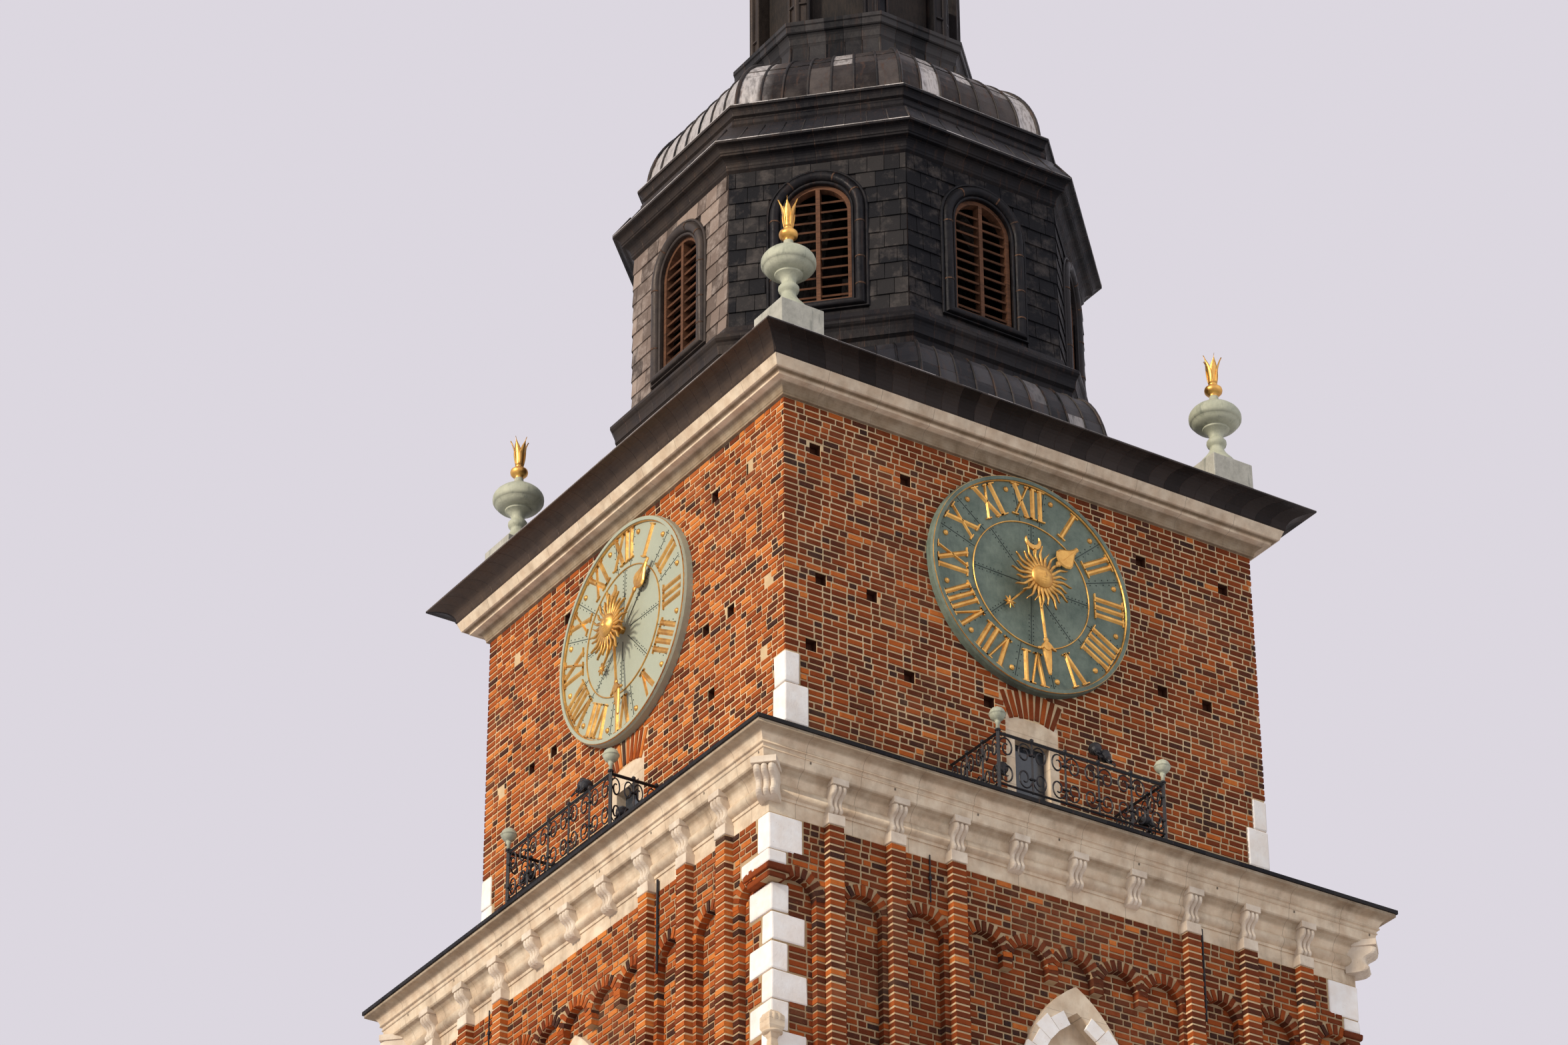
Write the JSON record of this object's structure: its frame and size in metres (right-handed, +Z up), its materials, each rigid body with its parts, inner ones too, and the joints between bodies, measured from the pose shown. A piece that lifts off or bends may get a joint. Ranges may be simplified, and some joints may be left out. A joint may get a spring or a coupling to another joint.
{
  "type": "clock tower, scale model",
  "caption": "Square brick clock tower with a dial and balcony on every side, stone cornices, an octagonal slated drum, bulb roof, open lantern and spire; a scale model.",
  "frame": {"origin": "centre of the tower's foot, at ground level", "axes": "+Z up along the tower's axis; -Y out of the side with the front door, +X to its right"},
  "size_m": [1.151, 1.151, 7],
  "materials": {
    "brick": "hand made red brick laid in wide cream mortar, with burnt dark headers",
    "limestone": "cream limestone, weathered and streaked",
    "floor_boards": "plain sawn boards",
    "glazing": "dark leaded glass",
    "door_wood": "dark stained boards",
    "capping_sheet": "black sheet metal with folded seams",
    "black_iron": "black painted wrought iron",
    "dial_copper": "green grey patinated copper sheet",
    "gilding": "gold leaf, slightly worn",
    "urn_copper": "pale verdigris copper",
    "slate": "dark slate with white flecks",
    "roof_sheet": "weathered lead and tin sheet, partly bright, partly brown black",
    "louvre_wood": "weathered brown boards"
  },
  "bodies": {
    "tower": {"plinth": "limestone", "floors": "floor_boards", "shaft_front_wall": "brick", "shaft_back_wall": "brick", "shaft_left_wall": "brick", "shaft_right_wall": "brick", "corner_quoins": "limestone", "corner_pinnacles": "limestone", "string_courses": "limestone", "pilaster_strips": "brick", "window_surrounds": "limestone", "window_glazing": "glazing", "front_door_surround": "limestone", "front_door": "door_wood", "lower_cornice": "limestone", "consoles": "limestone", "cornice_capping": "capping_sheet", "clock_front_wall": "brick", "clock_back_wall": "brick", "clock_left_wall": "brick", "clock_right_wall": "brick", "balcony_door_frames": "limestone", "balcony_doors": "door_wood", "balcony_railings": "black_iron", "dials": "dial_copper", "gilt_suns": "gilding", "top_cornice": "limestone", "gutter": "capping_sheet", "urns": "urn_copper", "gilt_crowns": "gilding", "skirt_roof": "roof_sheet", "drum_base": "capping_sheet", "drum_square_walls": "slate", "drum_diagonal_walls": "slate", "drum_window_frames": "roof_sheet", "drum_louvres": "louvre_wood", "drum_cornice": "capping_sheet", "bulb_cornice": "capping_sheet", "bulb_roof": "roof_sheet", "lantern_base": "roof_sheet", "lantern_posts": "capping_sheet", "lantern_arches": "capping_sheet", "lantern_parapet": "louvre_wood", "lantern_roof": "roof_sheet", "spire": "roof_sheet", "finial": "gilding"},
    "minute_hand_front": {"minute_hand_front": "gilding"},
    "minute_hand_right": {"minute_hand_right": "gilding"},
    "minute_hand_back": {"minute_hand_back": "gilding"},
    "minute_hand_left": {"minute_hand_left": "gilding"},
    "hour_hand_front": {"hour_hand_front": "gilding"},
    "hour_hand_right": {"hour_hand_right": "gilding"},
    "hour_hand_back": {"hour_hand_back": "gilding"},
    "hour_hand_left": {"hour_hand_left": "gilding"}
  },
  "joints": [
    {"name": "minute_turn_front", "type": "hinge", "parent": "tower", "child": "minute_hand_front", "pos_m": [0, -0.47, 3.904], "axis": [0, -1, 0], "continuous": true},
    {"name": "hour_turn_front", "type": "hinge", "parent": "tower", "child": "hour_hand_front", "pos_m": [0, -0.461, 3.904], "axis": [0, -1, 0], "continuous": true},
    {"name": "minute_turn_right", "type": "hinge", "parent": "tower", "child": "minute_hand_right", "pos_m": [0.47, 0, 3.904], "axis": [1, 0, 0], "continuous": true},
    {"name": "hour_turn_right", "type": "hinge", "parent": "tower", "child": "hour_hand_right", "pos_m": [0.461, 0, 3.904], "axis": [1, 0, 0], "continuous": true},
    {"name": "minute_turn_back", "type": "hinge", "parent": "tower", "child": "minute_hand_back", "pos_m": [0, 0.47, 3.904], "axis": [0, 1, 0], "continuous": true},
    {"name": "hour_turn_back", "type": "hinge", "parent": "tower", "child": "hour_hand_back", "pos_m": [0, 0.461, 3.904], "axis": [0, 1, 0], "continuous": true},
    {"name": "minute_turn_left", "type": "hinge", "parent": "tower", "child": "minute_hand_left", "pos_m": [-0.47, 0, 3.904], "axis": [-1, 0, 0], "continuous": true},
    {"name": "hour_turn_left", "type": "hinge", "parent": "tower", "child": "hour_hand_left", "pos_m": [-0.461, 0, 3.904], "axis": [-1, 0, 0], "continuous": true}
  ],
  "couplings": [
    {"joint": "hour_turn_front", "follows": "minute_turn_front", "ratio": 0.083333},
    {"joint": "minute_turn_right", "follows": "minute_turn_front", "ratio": 1},
    {"joint": "hour_turn_right", "follows": "minute_turn_front", "ratio": 0.083333},
    {"joint": "minute_turn_back", "follows": "minute_turn_front", "ratio": 1},
    {"joint": "hour_turn_back", "follows": "minute_turn_front", "ratio": 0.083333},
    {"joint": "minute_turn_left", "follows": "minute_turn_front", "ratio": 1},
    {"joint": "hour_turn_left", "follows": "minute_turn_front", "ratio": 0.083333}
  ]
}
